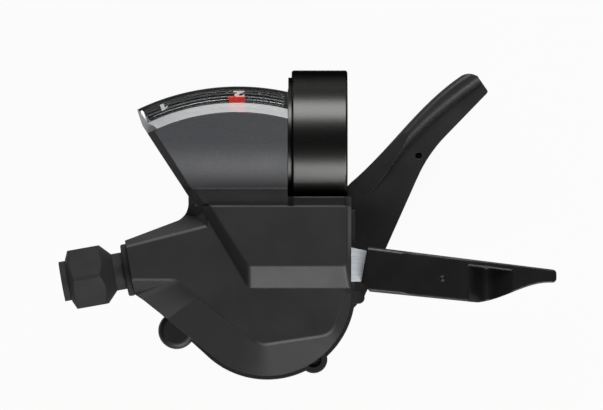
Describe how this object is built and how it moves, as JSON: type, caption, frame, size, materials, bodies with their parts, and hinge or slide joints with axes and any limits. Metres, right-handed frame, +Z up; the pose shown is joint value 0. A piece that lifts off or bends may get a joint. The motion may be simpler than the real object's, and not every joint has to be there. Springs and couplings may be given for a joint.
{
  "type": "trigger gear shifter",
  "caption": "Left-hand trigger gear shifter for a flat handlebar: band clamp, hood with gear display, thumb lever, release lever and cable adjuster on a ratchet drum.",
  "frame": {"origin": "centre of the handlebar clamp's bore, midway along the band", "axes": "+X along the handlebar towards the grip, +Y towards the rider, +Z up"},
  "size_m": [0.1047, 0.0651, 0.0416],
  "materials": {
    "cover_resin": "fine matt moulded texture, slightly satin",
    "base_resin": "black moulded resin",
    "band_paint": "semi-gloss black paint on the aluminium band",
    "lever_resin": "black moulded resin, satin",
    "knob_resin": "black moulded resin, satin",
    "inner_resin": "natural acetal",
    "dial_black": "black dial with white figures",
    "pointer_red": "red moulded resin",
    "clear_lens": "clear polycarbonate",
    "arm_steel": "zinc plated sheet steel",
    "plated_steel": "zinc plated steel",
    "spring_steel": "drawn spring wire",
    "fastener_steel": "black oxide steel",
    "dark_screws": "black screws"
  },
  "bodies": {
    "housing": {"base_plate": "base_resin", "upper_cover": "cover_resin", "clamp_band": "band_paint", "clamp_bolt": "fastener_steel", "clamp_nut": "fastener_steel", "foot_screws": "fastener_steel", "cover_screws": "dark_screws", "main_axle": "plated_steel", "axle_nut": "plated_steel", "axle_washer": "plated_steel", "dial_plate": "dial_black", "display_lens": "clear_lens", "holding_pawl_pin": "plated_steel", "holding_pawl_spring": "spring_steel", "thumb_lever_spring": "spring_steel", "release_spring": "spring_steel", "pointer_screw": "plated_steel", "adjuster_socket": "base_resin", "adjuster_spring": "spring_steel"},
    "thumb": {"thumb_lever": "lever_resin", "winding_pawl_pin": "plated_steel", "winding_pawl_spring": "spring_steel"},
    "winding_catch": {"winding_pawl": "plated_steel"},
    "release": {"release_plate": "arm_steel", "release_cover": "lever_resin"},
    "holding_catch": {"holding_pawl": "plated_steel"},
    "drum": {"winding_drum": "inner_resin", "ratchet_plate": "plated_steel", "drive_pin": "plated_steel", "drum_spring": "spring_steel"},
    "indicator": {"pointer": "pointer_red"},
    "collar": {"click_collar": "knob_resin"},
    "adjuster": {"adjuster_knob": "knob_resin", "adjuster_bolt": "knob_resin"}
  },
  "joints": [
    {"name": "thumb_swing", "type": "hinge", "parent": "housing", "child": "thumb", "pos_m": [-0.011, -0.032, 0], "axis": [0, 0, 1], "range_deg": [-42, 0], "stiffness_Nm_per_rad": 0.06, "springref_deg": 17.19},
    {"name": "release_swing", "type": "hinge", "parent": "housing", "child": "release", "pos_m": [-0.011, -0.032, 0], "axis": [0, 0, 1], "range_deg": [0, 10], "stiffness_Nm_per_rad": 0.06, "springref_deg": -11.46},
    {"name": "holding_lift", "type": "hinge", "parent": "housing", "child": "holding_catch", "pos_m": [0.00189, -0.03721, 0], "axis": [0, 0, 1], "range_deg": [0, 8.1]},
    {"name": "winding_lift", "type": "hinge", "parent": "thumb", "child": "winding_catch", "pos_m": [-0.02649, -0.03254, 0], "axis": [0, 0, 1], "range_deg": [0, 12], "stiffness_Nm_per_rad": 0.002, "springref_deg": -11.46},
    {"name": "drum_turn", "type": "hinge", "parent": "housing", "child": "drum", "pos_m": [-0.011, -0.032, 0], "axis": [0, 0, 1], "range_deg": [0, 36]},
    {"name": "pointer_turn", "type": "hinge", "parent": "housing", "child": "indicator", "pos_m": [-0.0172, -0.0355, 0], "axis": [0, 0, 1], "range_deg": [0, 19.6]},
    {"name": "adjuster_slide", "type": "slide", "parent": "housing", "child": "collar", "axis": [-0.9845, -0.1754, 0], "range_m": [0, 0.00301]},
    {"name": "adjuster_turn", "type": "hinge", "parent": "collar", "child": "adjuster", "pos_m": [-0.05411, -0.02988, -0.001], "axis": [-0.9845, -0.1754, 0], "range_deg": [0, 1080]}
  ],
  "couplings": [
    {"joint": "pointer_turn", "follows": "drum_turn", "ratio": 0.53859},
    {"joint": "holding_lift", "follows": "release_swing", "ratio": 0.8},
    {"joint": "adjuster_slide", "follows": "adjuster_turn", "m_per_rad": 0.00015915}
  ]
}
